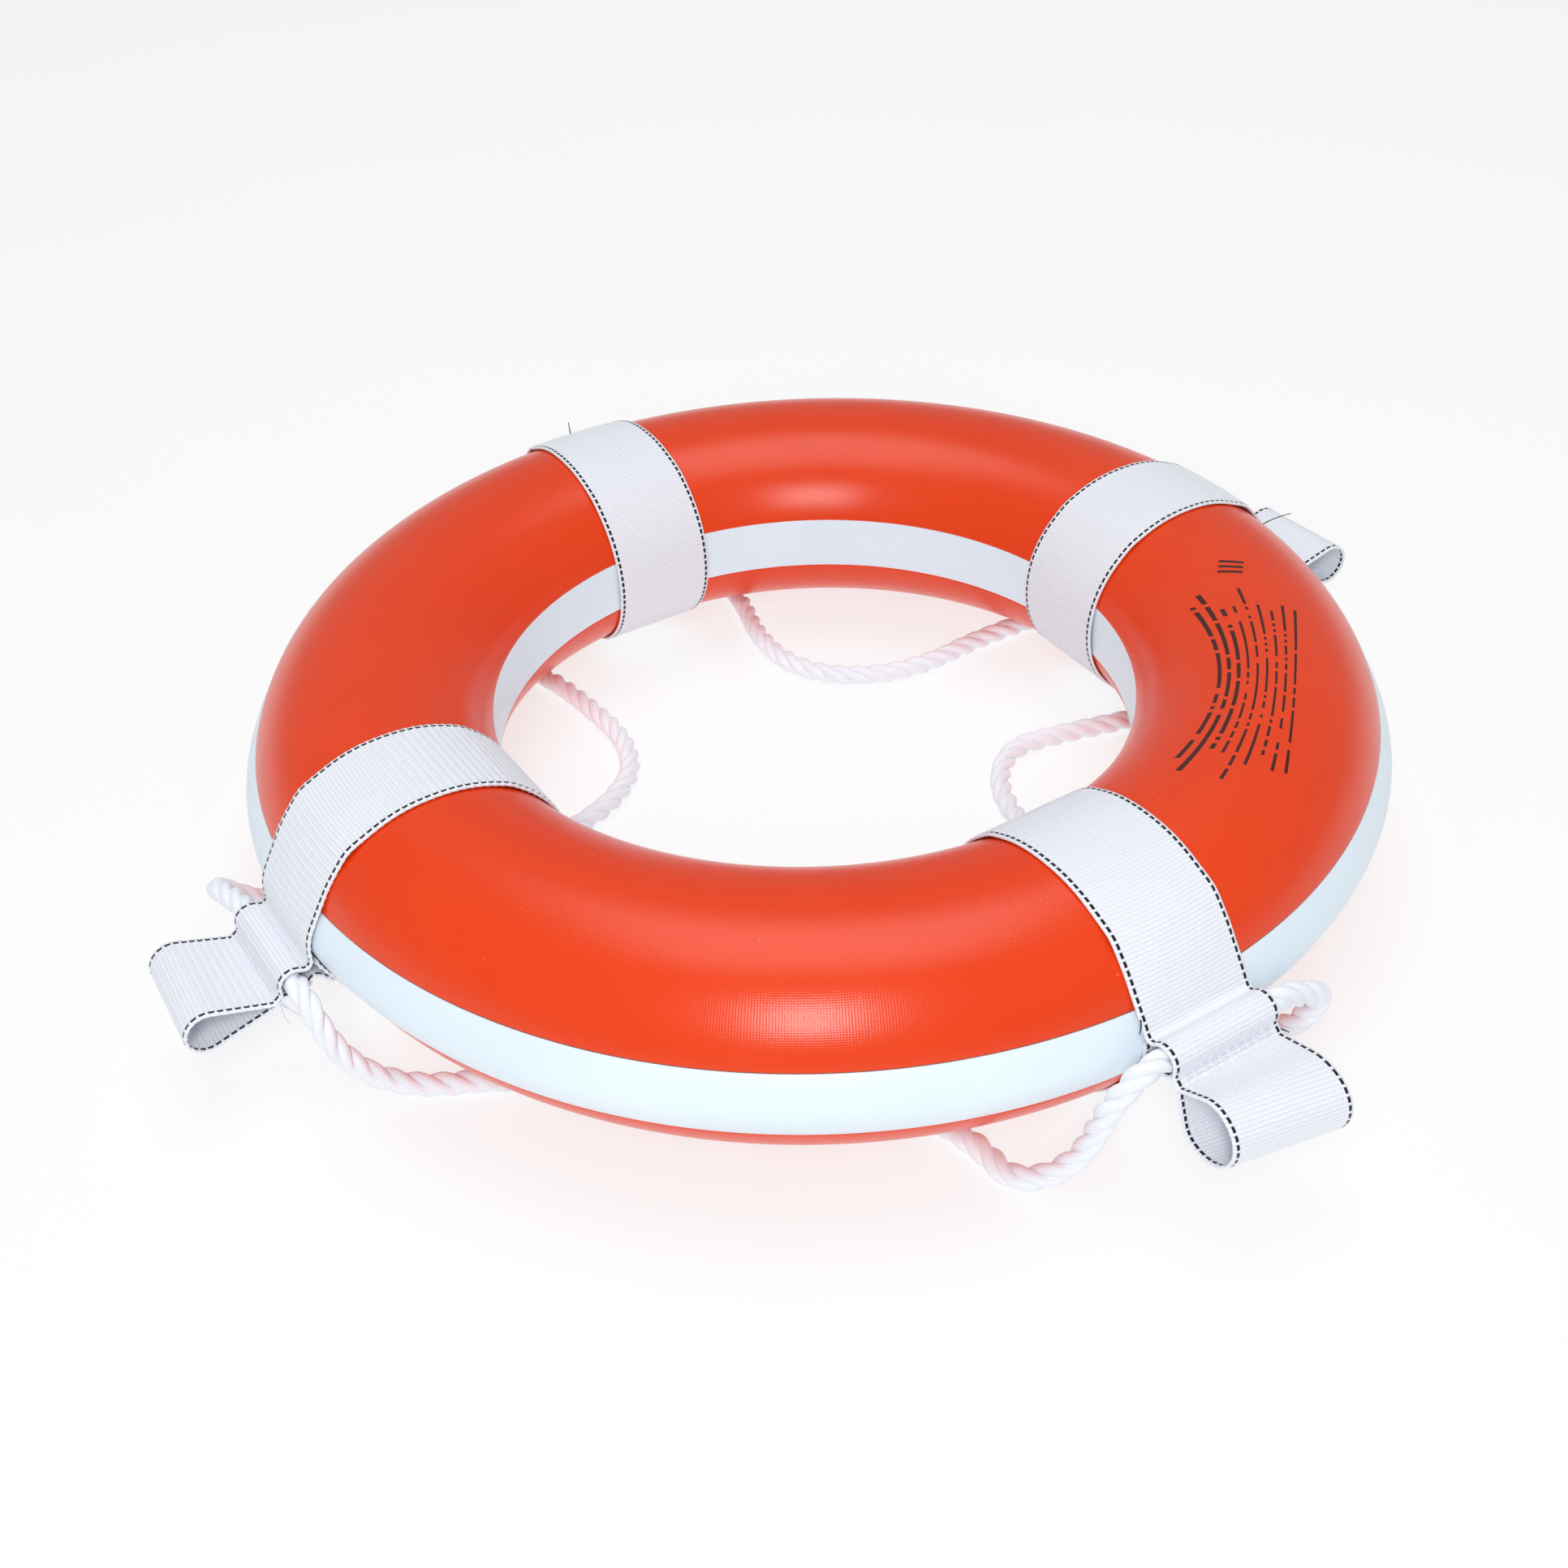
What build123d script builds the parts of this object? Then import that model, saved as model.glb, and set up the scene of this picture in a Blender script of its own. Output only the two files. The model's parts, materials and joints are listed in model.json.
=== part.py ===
from build123d import *
import os
from math import asin, cos, degrees, pi, radians, sin, sqrt, tan

# Ring lifebuoy: a foam ring in a moulded skin, four webbing straps round it, each with a rope tunnel
# and a hand loop sewn to its outer side, and one grab line threaded through the four tunnels.
# Millimetres. The origin is the centre of the ring, on its mid plane, and +Z is the ring's axis.
# The straps sit at the front (-Y), right (+X), rear (+Y) and left (-X). The ring lies on its grab line.

# Ring
outer_diameter = 508.0
hole_diameter = 285.4
ring_thickness = 96.6
dome_power = 2.08  # 2 would be an ellipse; a little more gives fuller shoulders
skin_wall = 1.5

# White bands along the outer and inner edge of the ring
outer_band_height = 31.2
inner_band_height = 26.4
outer_band_stand = 4.2  # how far its nose stands out of the dome
inner_band_stand = 0.7

# Webbing
webbing_width = 50.8
webbing_thickness = 1.5
strap_gap = 0.3  # between the webbing and the ring
tunnel_gap = 0.8  # round the rope
hinge_gap = 0.3  # between a hand loop and its seam

# Seam between a rope tunnel and its hand loop
seam_length = 3.5
stitch_length = 3.0
stitch_space = 1.2
stitch_width = 0.8
stitch_height = 0.35
stitch_edge = 3.5  # from the first stitch to the webbing's edge
stitch_rows = (0.8, 2.6)  # from the inner end of the seam

loop_tip_radius = 0.5  # where the two plies of a hand loop part, next to the seam

# Grab line
rope_diameter = 9.5
rope_exit = 8.6  # how far the rope runs straight out of a tunnel before it turns
rope_gap = 0.25  # between the ring and the line that it lies on

# Each strap as it lies on this ring. around is its place on the ring and tunnel is the rope's place about
# the nose, in degrees; slack is how far the tunnel hangs away from the ring; seam is the way the webbing
# leaves the rope; loop, reach and fold are the hand loop's slope, length to its fold and fold radius.
straps = {
    "front": dict(around=-89.5, tunnel=8, slack=2.0, seam=-40, loop=-23, reach=20.0, fold=15.0),
    "right": dict(around=-1.2, tunnel=-8, slack=1.0, seam=-40, loop=-8, reach=22.0, fold=10.5),
    "rear": dict(around=89.9, tunnel=-4, slack=1.0, seam=-40, loop=-16, reach=22.0, fold=12.0),
    "left": dict(around=180.7, tunnel=-22, slack=4.0, seam=-35, loop=2, reach=26.0, fold=9.5),
}

# Sizes that follow
ring_radius = outer_diameter / 2
hole_radius = hole_diameter / 2
rope_radius = rope_diameter / 2
exit_run = webbing_width / 2 + rope_exit
lying_height = -(ring_thickness / 2 + rope_gap + rope_radius)
dome_out = ring_radius - outer_band_stand
dome_in = hole_radius - inner_band_stand
tube_radius = (dome_out + dome_in) / 2
dome_half_width = (dome_out - dome_in) / 2
dome_half_height = ring_thickness / 2


def dome_x(z):
    """How far the dome reaches from its middle at a height."""
    return dome_half_width * (1 - (abs(z) / dome_half_height) ** dome_power) ** (1 / dome_power)


outer_edge = tube_radius + dome_x(outer_band_height / 2)
inner_edge = tube_radius - dome_x(inner_band_height / 2)
nose_rise = ring_radius - outer_edge
nose_radius = (nose_rise**2 + (outer_band_height / 2) ** 2) / (2 * nose_rise)
nose_centre = ring_radius - nose_radius
seam_start = rope_radius + tunnel_gap + webbing_thickness
hinge_reach = seam_start + seam_length + hinge_gap + webbing_thickness


# Half sections: x is the distance from the axis, y the height
def superellipse(half_width, half_height, shift=0.0, count=48):
    """A closed outline round the middle of the ring's tube. shift moves its inner half."""
    points = []
    for i in range(count):
        angle = 2 * pi * i / count
        c, s = cos(angle), sin(angle)
        x = half_width * abs(c) ** (2 / dome_power) * (1 if c > 0 else -1)
        z = half_height * abs(s) ** (2 / dome_power) * (1 if s > 0 else -1)
        points.append((tube_radius + x - (shift if x < -1e-9 else 0), z))
    return Spline(*points, periodic=True)


def band(x_edge, x_nose, height):
    """The half section of a white band, from the middle of the tube to its bowed face."""
    half = height / 2
    face = ThreePointArc((x_edge, -half), (x_nose, 0), (x_edge, half))
    back = Polyline((x_edge, half), (tube_radius, half), (tube_radius, -half), (x_edge, -half))
    return make_face(face + back)


def revolved(section):
    return revolve(Plane.XZ * section, Axis.Z, 360)


dome = make_face(superellipse(dome_half_width, dome_half_height))
core = make_face(superellipse(dome_half_width - skin_wall, dome_half_height - skin_wall))
outer_band = band(outer_edge, ring_radius, outer_band_height)
inner_band = band(inner_edge, hole_radius, inner_band_height)
shell = dome - core
above = Pos(tube_radius + 50, outer_band_height / 2 + 50) * Rectangle(100, 100)
above += Pos(tube_radius - 50, inner_band_height / 2 + 50) * Rectangle(100, 100)
upper_skin = shell & above
lower_skin = shell & mirror(above, Plane.XZ)

nodes = {
    "foam_core": revolved(core),
    "upper_skin": revolved(upper_skin),
    "lower_skin": revolved(lower_skin),
    "outer_band": revolved(outer_band - core),
    "inner_band": revolved(inner_band - core),
}


# Straps
def direction(angle, reach=1.0):
    return Vector(reach * cos(radians(angle)), reach * sin(radians(angle)))


def rope_centre(strap):
    """The rope's place in a strap's half section."""
    stack = nose_radius + strap_gap + webbing_thickness + tunnel_gap + rope_radius + strap["slack"]
    return Vector(nose_centre, 0) + direction(strap["tunnel"], stack)


def hinge_point(strap):
    return rope_centre(strap) + direction(strap["seam"], hinge_reach)


def tapered(start, start_radius, end, end_radius):
    """Two discs and the straight sides that touch both."""
    reach = (end - start).length
    if reach < 1e-6:
        return Pos(*end) * Circle(end_radius)
    lean = asin((end_radius - start_radius) / reach)
    along = (end - start).normalized()
    across = Vector(-along.Y, along.X)
    corners = []
    for side in (1, -1):
        normal = across * (side * cos(lean)) - along * sin(lean)
        pair = [start + normal * start_radius, end + normal * end_radius]
        corners += pair if side == 1 else pair[::-1]
    sides = make_face(Polyline(*corners, close=True))
    return Pos(*start) * Circle(start_radius) + Pos(*end) * Circle(end_radius) + sides


def wrap(gap):
    """The outline of the ring's half section under a flat strap, moved out by gap."""
    bow = hole_radius - sqrt(hole_radius**2 - (webbing_width / 2) ** 2)
    arc = nose_radius + gap
    half = arc * (outer_band_height / 2) / nose_radius
    nose = ThreePointArc(
        (nose_centre + sqrt(arc**2 - half**2), -half),
        (nose_centre + arc, 0),
        (nose_centre + sqrt(arc**2 - half**2), half),
    )
    body = superellipse(dome_half_width + gap, dome_half_height + gap, bow)
    return make_face(make_hull([nose, body]).edges())


def strap_section(strap):
    rope = rope_centre(strap)
    near = rope - direction(strap["tunnel"], strap["slack"])
    bore = rope_radius + tunnel_gap
    seam_middle = rope + direction(strap["seam"], bore + (webbing_thickness + seam_length) / 2)
    seam = Rectangle(webbing_thickness + seam_length, 2 * webbing_thickness)
    sewn = wrap(strap_gap + webbing_thickness)
    sewn += tapered(near, bore + webbing_thickness, rope, bore + webbing_thickness)
    sewn += Pos(*seam_middle) * Rot(0, 0, strap["seam"]) * seam
    return sewn - wrap(strap_gap) - tapered(near, bore, rope, bore)


def loop_section(strap):
    hinge = hinge_point(strap)
    fold = hinge + direction(strap["loop"], strap["reach"])
    inside = strap["fold"] - webbing_thickness
    apex = hinge + direction(strap["loop"], loop_tip_radius * strap["reach"] / inside)
    outside = tapered(hinge, webbing_thickness, fold, strap["fold"])
    return outside - tapered(apex, loop_tip_radius, fold, inside)


def across_strap(strap, section):
    """A half section made as wide as the webbing and turned to its strap's place."""
    flat = extrude(Plane.XZ * section, webbing_width / 2, both=True)
    return Rot(0, 0, strap["around"]) * flat


def stitches(strap):
    pitch = stitch_length + stitch_space
    count = int((webbing_width - 2 * stitch_edge + stitch_space) / pitch)
    stitch = Box(stitch_width, stitch_length, stitch_height)
    height = webbing_thickness + stitch_height / 2
    row = [pitch * (i - (count - 1) / 2) for i in range(count)]
    spots = [
        Pos(seam_start + x, y, side * height)
        for x in stitch_rows
        for y in row
        for side in (1, -1)
    ]
    rope = rope_centre(strap)
    place = Rot(0, 0, strap["around"]) * Pos(rope.X, 0, rope.Y) * Rot(0, -strap["seam"], 0)
    return Compound(children=[place * spot * stitch for spot in spots])


for name, strap in straps.items():
    nodes[f"strap_{name}"] = across_strap(strap, strap_section(strap))
    nodes[f"hand_loop_{name}"] = across_strap(strap, loop_section(strap))
    nodes[f"seam_stitching_{name}"] = stitches(strap)


# Grab line: from the middle of one tunnel to the middle of the next, lying under the ring. Each point
# is x, y and the height of the rope's centre above where it lies.
grab_line_routes = {
    ("left", "front"): [
        (-260, -46, 24.3), (-254, -49, 10.3), (-245, -57, 2.3), (-231, -69, 0), (-206, -81, 0),
        (-176, -103, 0), (-140, -134, 0), (-101, -163, 0), (-75, -192, 0),
        (-68, -219, 0), (-69, -236, 0), (-60, -246, 2.8), (-49, -252, 11.3), (-44, -255, 25.3),
        (-42, -259, 41.3),
    ],
    ("front", "right"): [
        (49, -261, 50.3), (60, -260, 39.3), (63, -259, 23.3), (59, -251, 7.3), (55, -228, 0),
        (54, -178, 0), (58, -119, 0), (65, -69, 0), (76, -39, 0), (98, -22, 0),
        (124, -27, 0), (153, -35, 0), (186, -45, 0), (223, -52, 0), (250, -53, 7.3),
        (261, -53, 27.3), (263, -47, 42.3),
    ],
    ("right", "rear"): [
        (258, 46, 33.3), (246, 54, 11.3), (222, 57, 0), (185, 62, 0), (142, 64, 0),
        (104, 60, 0), (70, 71, 0), (49, 98, 0), (49, 132, 0), (61, 168, 0),
        (65, 203, 0), (61, 234, 7.3), (52, 254, 27.3),
    ],
    ("rear", "left"): [
        (-59, 258, 29.3), (-72, 243, 8.3), (-75, 216, 0), (-67, 186, 0), (-58, 157, 0),
        (-54, 123, 0), (-53, 92, 0), (-64, 64, 0), (-94, 46, 0), (-137, 41, 0),
        (-183, 45, 0), (-222, 58, 0), (-250, 64, 5.3), (-263, 57, 20.3),
    ],
}


def in_tunnel(name, sideways=0.0):
    strap = straps[name]
    rope = rope_centre(strap)
    return (Rot(0, 0, strap["around"]) * Pos(rope.X, sideways, rope.Y)).position


def grab_line(start, end, route):
    """One stretch of the line as a tube, its arcs as large as their runs allow."""
    first = [in_tunnel(start), in_tunnel(start, exit_run)]
    last = [in_tunnel(end, -exit_run), in_tunnel(end)]
    points = first + [Vector(x, y, lying_height + lift) for x, y, lift in route] + last
    radii = []
    for before, corner, after in zip(points, points[1:], points[2:]):
        turn = (corner - before).get_angle(after - corner)
        shorter = min((corner - before).length, (after - corner).length)
        radii.append(0.45 * shorter / tan(radians(turn / 2)))
    path = FilletPolyline(*points, radius=radii)
    rope = sweep(Plane(origin=path @ 0, z_dir=path % 0) * Circle(rope_radius), path)
    ratio = rope.volume / (pi * rope_radius**2 * path.length)
    print(f"grab line {start} to {end}: {path.length:.0f} mm, radii", [round(r) for r in radii], end=" ")
    print(f"volume {ratio:.4f} of section x length")
    return rope


for (start, end), route in grab_line_routes.items():
    nodes[f"grab_line_{start}_{end}"] = grab_line(start, end, route)

os.makedirs("parts", exist_ok=True)
for name, solid in nodes.items():
    export_step(solid, f"parts/{name}.step")
    print(name, f"{solid.volume / 1000:.2f} cm3")
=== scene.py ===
# %% [markdown]
# # A ring lifebuoy
# A ring of foam in a grained orange skin, with a white band round its outer and its inner edge. Four
# webbing straps go round it. Each holds a rope in a tunnel and ends in a hand loop, and one grab line
# is threaded through all four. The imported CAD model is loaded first, and everything is built around
# it in the same frame, so nothing here has to be fitted by eye.

# %% Load the frame
import bpy
import json
import numpy as np
from math import asin, acos, atan2, cos, degrees, pi, radians, sin, sqrt, tau
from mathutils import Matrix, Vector
from mathutils.geometry import convex_hull_2d


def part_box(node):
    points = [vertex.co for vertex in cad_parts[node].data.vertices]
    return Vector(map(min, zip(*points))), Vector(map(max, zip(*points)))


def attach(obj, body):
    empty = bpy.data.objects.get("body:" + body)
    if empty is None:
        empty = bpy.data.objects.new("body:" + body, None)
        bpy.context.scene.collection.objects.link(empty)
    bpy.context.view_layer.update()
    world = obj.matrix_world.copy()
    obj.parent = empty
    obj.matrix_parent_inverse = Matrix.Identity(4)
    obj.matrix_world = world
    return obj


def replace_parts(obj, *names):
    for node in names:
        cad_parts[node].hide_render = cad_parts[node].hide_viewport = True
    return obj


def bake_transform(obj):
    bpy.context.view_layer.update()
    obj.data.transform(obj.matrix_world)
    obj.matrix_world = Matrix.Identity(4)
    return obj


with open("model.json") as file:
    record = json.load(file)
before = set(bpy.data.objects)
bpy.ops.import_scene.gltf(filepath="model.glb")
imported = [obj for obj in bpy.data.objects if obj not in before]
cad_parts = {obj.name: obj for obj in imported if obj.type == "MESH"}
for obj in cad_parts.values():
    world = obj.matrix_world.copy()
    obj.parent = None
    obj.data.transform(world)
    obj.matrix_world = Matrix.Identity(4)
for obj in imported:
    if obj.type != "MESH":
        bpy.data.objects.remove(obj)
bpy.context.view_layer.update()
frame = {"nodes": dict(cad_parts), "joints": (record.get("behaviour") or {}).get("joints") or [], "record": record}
mm = 0.001

# %% [markdown]
# ## The camera
# The ring is looked down on from about 35 degrees, with the camera close enough for the near side to
# look larger than the far side. A camera can be aimed with a Track To constraint, but its small roll
# is then lost, so it gets its place and its three angles directly.

# %% Place the camera
camera_data = bpy.data.cameras.new("camera")
camera_data.sensor_width = 36.0
camera_data.lens = 44.31
camera = bpy.data.objects.new("camera", camera_data)
camera.location = (-0.3808, -0.6118, 0.5055)
camera.rotation_euler = (radians(52.566), radians(2.139), radians(-32.320))
bpy.context.scene.collection.objects.link(camera)
bpy.context.scene.camera = camera
bpy.context.scene.view_settings.view_transform = "Standard"
print("camera", [round(x, 3) for x in camera.location])

# %% [markdown]
# ## Sizes
# The ring's sizes are read from the frame: its outside from the outer band's box, its thickness from
# the upper skin's box, and its hole from the mount that a hook would use. The webbing, rope and seam
# have stock sizes, and repeat the CAD source's values.

# %% Read and name the sizes, in millimetres
ring_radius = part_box("outer_band")[1].x / mm
half_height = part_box("upper_skin")[1].z / mm
hole_radius = frame["record"]["mounts"][0]["dims"]["r_mm"]
outer_band_height = (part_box("outer_band")[1].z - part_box("outer_band")[0].z) / mm
inner_band_height = (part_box("inner_band")[1].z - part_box("inner_band")[0].z) / mm
dome_power = 2.08
skin_wall = 1.5
outer_stand = 4.2
inner_stand = 0.7
tube_radius = (ring_radius - outer_stand + hole_radius - inner_stand) / 2
half_width = (ring_radius - outer_stand - hole_radius + inner_stand) / 2
webbing_width = 50.8
webbing_thickness = 1.5
strap_gap = 0.3
tunnel_gap = 0.8
seam_length = 3.5
hinge_gap = 0.3
rope_diameter = 9.5
rope_radius = rope_diameter / 2
rope_exit = webbing_width / 2 + 8.6
lying_height = -(half_height + 0.25 + rope_radius)
print("ring", round(2 * ring_radius, 1), "hole", 2 * hole_radius, "thickness", round(2 * half_height, 1))


def dome_x(z):
    """How far the dome reaches from the middle of the tube, at a height."""
    return half_width * (1 - (abs(z) / half_height) ** dome_power) ** (1 / dome_power)


outer_edge = tube_radius + dome_x(outer_band_height / 2)
inner_edge = tube_radius - dome_x(inner_band_height / 2)
nose_rise = ring_radius - outer_edge
nose_radius = (nose_rise**2 + (outer_band_height / 2) ** 2) / (2 * nose_rise)
nose_centre = ring_radius - nose_radius

# %% [markdown]
# ## How each strap lies
# No two straps lie alike, because a rope was pulled through them and they were put down by hand.
# Each one's place round the ring, the rope's place about the white nose, and the lie of its hand loop
# are the CAD source's values, so the hinges of the frame stay where the webbing folds.

# %% The four straps
straps = {
    "front": dict(around=-89.5, tunnel=8, slack=2.0, seam=-40, loop=-23, reach=20.0, fold=15.0),
    "right": dict(around=-1.2, tunnel=-8, slack=1.0, seam=-40, loop=-8, reach=22.0, fold=10.5),
    "rear": dict(around=89.9, tunnel=-4, slack=1.0, seam=-40, loop=-16, reach=22.0, fold=12.0),
    "left": dict(around=180.7, tunnel=-22, slack=4.0, seam=-35, loop=2, reach=26.0, fold=9.5),
}
seam_start = rope_radius + tunnel_gap + webbing_thickness
hinge_reach = seam_start + seam_length + hinge_gap + webbing_thickness


def aim(angle, reach=1.0):
    """A point at an angle in degrees, in a strap's half section."""
    return np.array([reach * cos(radians(angle)), reach * sin(radians(angle))])


def rope_centre(strap):
    """The rope's middle in a strap's half section: distance from the axis, and height."""
    stack = nose_radius + strap_gap + webbing_thickness + tunnel_gap + rope_radius + strap["slack"]
    return np.array([nose_centre, 0.0]) + aim(strap["tunnel"], stack)


def placed(strap, section, sideways):
    """Points of a half section, set sideways in the webbing's width and turned to the strap, in metres."""
    turn = radians(strap["around"])
    out, up = section[..., 0], section[..., 1]
    x = out * cos(turn) - sideways * sin(turn)
    y = out * sin(turn) + sideways * cos(turn)
    return np.stack([x, y, up + 0 * x], -1) * mm


for name, strap in straps.items():
    hinge = rope_centre(strap) + aim(strap["seam"], hinge_reach)
    joint = next(j for j in frame["joints"] if j["name"] == f"hand_loop_{name}_flex")
    off = np.linalg.norm(placed(strap, hinge, 0.0) - np.array(joint["pos_m"])) / mm
    print(name, "hinge is", round(off, 3), "mm from the frame's joint")

# %% [markdown]
# ## The grab line's route
# The line is one rope that lies slack under the ring and shows in the hole and outside it. It could be
# a simulated rope, but how it lies is known, so each stretch is a smooth NURBS curve through the CAD
# source's own points, from the middle of one tunnel to the middle of the next. At the front and the left
# strap the line bows further out of its tunnel than the tube does, so a few points there are moved, by
# less than two rope diameters. One more point in the straight run inside each tunnel keeps the rope in
# line until it is out of the webbing.

# %% Points of the four stretches: x and y, and height above where the rope lies
grab_line_routes = {
    ("left", "front"): [
        (-260, -46, 24.3), (-254, -49, 10.3), (-245, -57, 2.3), (-231, -69, 0), (-206, -81, 0),
        (-176, -103, 0), (-140, -134, 0), (-101, -163, 0), (-75, -192, 0),
        (-68, -219, 0), (-69, -236, 0), (-60, -246, 2.8), (-49, -252, 11.3), (-44, -255, 25.3),
        (-42, -259, 41.3),
    ],
    ("front", "right"): [
        (49, -261, 50.3), (61, -259, 43), (66, -254, 28), (62, -245, 11), (56, -225, 1),
        (54, -178, 0), (58, -119, 0), (65, -69, 0), (76, -39, 0), (98, -22, 0),
        (124, -27, 0), (153, -35, 0), (186, -45, 0), (223, -52, 0), (250, -53, 7.3),
        (261, -53, 27.3), (263, -47, 42.3),
    ],
    ("right", "rear"): [
        (258, 46, 33.3), (246, 54, 11.3), (222, 57, 0), (185, 62, 0), (142, 64, 0),
        (104, 60, 0), (70, 71, 0), (49, 98, 0), (49, 132, 0), (61, 168, 0),
        (65, 203, 0), (61, 234, 7.3), (52, 254, 27.3),
    ],
    ("rear", "left"): [
        (-59, 258, 29.3), (-72, 243, 8.3), (-75, 216, 0), (-67, 186, 0), (-58, 157, 0),
        (-54, 123, 0), (-53, 92, 0), (-64, 64, 0), (-94, 46, 0), (-137, 41, 0),
        (-183, 45, 0), (-222, 58, 0), (-251, 66, 12), (-269, 62, 33),
    ],
}

# %% Follow a route with a smooth curve and read its points
straight_run = 22.0


def route_points(start, end):
    """The control points of one stretch, in metres."""
    first = [placed(straps[start], rope_centre(straps[start]), s) for s in (0, straight_run, rope_exit)]
    last = [placed(straps[end], rope_centre(straps[end]), -s) for s in (rope_exit, straight_run, 0)]
    route = grab_line_routes[start, end]
    lying = [np.array([x, y, lying_height + lift]) * mm for x, y, lift in route]
    return first + lying + last


def centreline(name, points, step):
    """A NURBS curve through control points, read back at even steps."""
    curve = bpy.data.curves.new(name, "CURVE")
    curve.dimensions = "3D"
    curve.resolution_u = 32
    spline = curve.splines.new("NURBS")
    spline.points.add(len(points) - 1)
    for knot, place in zip(spline.points, points):
        knot.co = (*place, 1.0)
    spline.order_u = 3
    spline.use_endpoint_u = True
    holder = bpy.data.objects.new(name, curve)
    mesh = bpy.data.meshes.new_from_object(holder)
    line = np.array([v.co for v in mesh.vertices])
    bpy.data.objects.remove(holder)
    bpy.data.meshes.remove(mesh)
    return evenly(line, step)


def evenly(line, step):
    """The same line with points at even steps, whatever its number of dimensions."""
    run = np.concatenate([[0], np.cumsum(np.linalg.norm(np.diff(line, axis=0), axis=1))])
    count = max(2, int(round(run[-1] / step)) + 1)
    at = np.linspace(0, run[-1], count)
    return np.stack([np.interp(at, run, line[:, k]) for k in range(line.shape[1])], -1)


def length_of(line):
    return float(np.linalg.norm(np.diff(line, axis=0), axis=1).sum())


grab_lines = {}
for start, end in grab_line_routes:
    line = centreline(f"route_{start}_{end}", route_points(start, end), 0.9 * mm)
    grab_lines[start, end] = line
    print(start, "to", end, round(length_of(line) / mm), "mm, lowest", round(line[:, 2].min() / mm, 1))

# %% [markdown]
# ## Shader sums
# A finish is mostly arithmetic: where a yarn is, how high it stands, how dark it gets. Wiring each
# Math node by hand hides that, so a small class wraps an output socket, and Python's own operators
# add the nodes. Colours go through Mix, because a Math node would turn them grey.

# %% A socket that can be added and multiplied
class Wire:
    """An output socket of a material's nodes, or just its tree, where a sum can start."""

    def __init__(self, tree, socket=None):
        self.tree = tree
        self.socket = socket

    def node(self, kind, settings=None, values=None, out=0):
        """Adds a node: its settings first, then its sockets' values or links. Returns one output."""
        made = self.tree.nodes.new("ShaderNode" + kind)
        for name, value in (settings or {}).items():
            if name == "stops":
                ramp = made.color_ramp.elements
                while len(ramp) < len(value):
                    ramp.new(0.5)
                for stop, (place, colour) in zip(ramp, value):
                    stop.position = place
                    stop.color = colour
            else:
                setattr(made, name, value)
        for name, value in (values or {}).items():
            if isinstance(value, Wire):
                self.tree.links.new(value.socket, made.inputs[name])
            else:
                made.inputs[name].default_value = value
        return Wire(self.tree, made.outputs[out])

    def math(self, operation, *values):
        """A Math node on these values, or on this socket alone when none are given."""
        return self.node("Math", {"operation": operation}, dict(enumerate(values or (self,))))

    def __add__(self, other):
        return self.math("ADD", self, other)

    __radd__ = __add__

    def __sub__(self, other):
        return self.math("SUBTRACT", self, other)

    def __rsub__(self, other):
        return self.math("SUBTRACT", other, self)

    def __mul__(self, other):
        return self.math("MULTIPLY", self, other)

    __rmul__ = __mul__

    def __truediv__(self, other):
        return self.math("DIVIDE", self, other)

    def __rtruediv__(self, other):
        return self.math("DIVIDE", other, self)

    def __gt__(self, other):
        return self.math("GREATER_THAN", self, other)

    def __lt__(self, other):
        return self.math("LESS_THAN", self, other)

    def attribute(self, name):
        """A number that the mesh keeps at each point."""
        return self.node("Attribute", {"attribute_name": name}, out="Fac")

    def turn(self):
        """The angle round a thread or strand, from its cosine and sine, so that it never jumps."""
        return self.math("ARCTAN2", self.attribute("sine"), self.attribute("cosine"))

    def wave(self, pitch, shift=0.0):
        """A smooth wave of this length along a distance, from -1 to 1."""
        return (self * (tau / pitch) + shift).math("SINE")

    def between(self, low, high):
        """0 below low, 1 above high, and smooth between."""
        return self.node("MapRange", {"interpolation_type": "SMOOTHSTEP"}, {0: self, 1: low, 2: high}, 0)

    def noise(self, scale, detail=3.0, roughness=0.55):
        """Cloudy variation over the object's own space."""
        place = self.node("TexCoord", out="Object")
        values = {"Vector": place, "Scale": scale, "Detail": detail, "Roughness": roughness}
        return self.node("TexNoise", None, values, "Fac")

    def mix(self, one, other):
        """One colour where this is 0 and the other where it is 1."""
        return self.node("Mix", {"data_type": "RGBA"}, {0: self, 6: one, 7: other}, 2)

    def bump(self, height, strength=1.0):
        """The shading of a surface that stands up by this height, in metres."""
        return self.node("Bump", None, {"Height": height, "Strength": strength, "Distance": 1.0}, "Normal")


def finish(name, **constants):
    """A new material with its Principled shader's constant sockets set. Returns it, its tree and shader."""
    material = bpy.data.materials.new(name)
    material.use_nodes = True
    shader = material.node_tree.nodes["Principled BSDF"]
    for socket, value in constants.items():
        shader.inputs[socket.replace("_", " ")].default_value = value
    return material, Wire(material.node_tree), shader


def feed(shader, **wires):
    """Links what varies over a surface to the shader."""
    for socket, wire in wires.items():
        wire.tree.links.new(wire.socket, shader.inputs[socket.replace("_", " ")])


def colour(red, green, blue):
    """A colour from display values of 0 to 255, as the linear numbers that a shader takes."""
    linear = [v / 255 / 12.92 if v < 10.3 else ((v / 255 + 0.055) / 1.055) ** 2.4
              for v in (red, green, blue)]
    return (*linear, 1.0)


print("orange in linear light", [round(x, 3) for x in colour(250, 90, 45)])

# %% [markdown]
# ## Lofts
# Skins, bands, webbing, thread and rope strands are all one shape seen a certain way: an outline
# carried along a line. Modifiers could do it, but webbing needs ribs at an exact pitch and a number at
# each point that says how far along and across the weave it is, so the rings of points are worked out
# as arrays and joined with faces in one go.

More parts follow.
